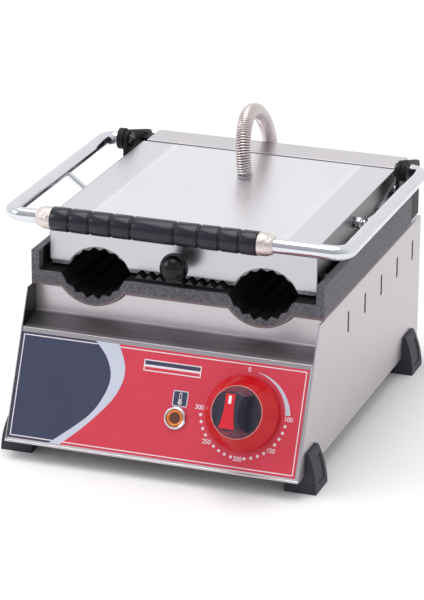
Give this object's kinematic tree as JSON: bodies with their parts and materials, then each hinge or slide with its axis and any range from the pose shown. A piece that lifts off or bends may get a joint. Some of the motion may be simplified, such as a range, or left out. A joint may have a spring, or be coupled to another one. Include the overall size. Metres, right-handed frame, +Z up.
{
  "type": "twin-channel countertop contact press",
  "caption": "Countertop electric contact press with fluted round channels between cast plates, a floating lid on a tubular handle, a temperature dial and a coiled conduit.",
  "frame": {"origin": "on the table under the middle of the object's box", "axes": "+X to the right seen from the front, +Y to the back, +Z up"},
  "size_m": [0.3216, 0.4138, 0.2533],
  "materials": {
    "stainless": "satin, fine straight grain",
    "plain_sheet": "dull",
    "foot_plastic": "fine texture",
    "fasteners": "bright zinc",
    "panel_print": "satin printed film",
    "cast_plate": "sand cast, grey",
    "element_sheath": "heat darkened",
    "clamp_steel": "plain",
    "ceramic": "matt",
    "copper": "bright",
    "bezel_chrome": "polished",
    "lamp_amber": "clear, moulded",
    "black_plastic": "moulded",
    "bracket_paint": "satin black",
    "conduit_wire": "warm nickel",
    "elbow_zinc": "grey",
    "bar_chrome": "polished",
    "grip_plastic": "glossy, moulded",
    "ferrule_metal": "satin",
    "wool": "mineral wool",
    "knob_red": "glossy, moulded"
  },
  "bodies": {
    "base": {"side_panel_left": "stainless", "side_panel_right": "stainless", "front_fascia": "stainless", "back_panel": "stainless", "base_plate": "plain_sheet", "foot_front_left": "foot_plastic", "foot_front_right": "foot_plastic", "foot_rear_left": "foot_plastic", "foot_rear_right": "foot_plastic", "foot_screws": "fasteners", "control_decal": "panel_print", "lower_plate": "cast_plate", "lower_element": "element_sheath", "lower_clamps": "clamp_steel", "lower_clamp_studs": "fasteners", "thermostat_body": "ceramic", "sensor_bulb": "copper", "sensor_capillary": "copper", "terminal_block": "ceramic", "lamp_bezel": "bezel_chrome", "lamp_lens": "lamp_amber", "lamp_body": "black_plastic", "mains_gland": "black_plastic", "hinge_bracket_left": "bracket_paint", "hinge_bracket_right": "bracket_paint", "bracket_bolts": "fasteners", "rear_rail": "stainless", "rail_screws": "fasteners", "conduit": "conduit_wire", "conduit_elbow": "elbow_zinc", "elbow_screws": "fasteners"},
    "handle": {"handle_bar": "bar_chrome", "grip": "grip_plastic", "grip_ferrules": "ferrule_metal", "float_pins": "bar_chrome", "float_nuts": "fasteners", "pivot_collars": "bar_chrome"},
    "lid": {"lid_cover": "stainless", "cover_screws": "fasteners", "upper_plate": "cast_plate", "upper_element": "element_sheath", "upper_clamps": "clamp_steel", "upper_clamp_studs": "fasteners", "insulation_pad": "wool", "ball_knob": "grip_plastic", "ball_stem": "bar_chrome", "stay_straps": "clamp_steel", "strap_bolts": "fasteners", "conduit_nipple": "clamp_steel"},
    "knob": {"knob_skirt": "knob_red", "knob_core": "black_plastic", "knob_pointer": "knob_red", "thermostat_shaft": "clamp_steel"}
  },
  "joints": [
    {"name": "lid_hinge", "type": "hinge", "parent": "base", "child": "handle", "pos_m": [0, 0.11721, 0.2055], "axis": [-1, 0, 0], "range_deg": [0, 90], "deforming": ["conduit"]},
    {"name": "plate_float", "type": "hinge", "parent": "handle", "child": "lid", "pos_m": [0, 0.00841, 0.189], "axis": [1, 0, 0], "range_deg": [-0.8, 0.8]},
    {"name": "knob_turn", "type": "hinge", "parent": "base", "child": "knob", "pos_m": [0.0785, -0.15979, 0.06453], "axis": [0, 0.9157, -0.4019], "range_deg": [0, 270]}
  ]
}
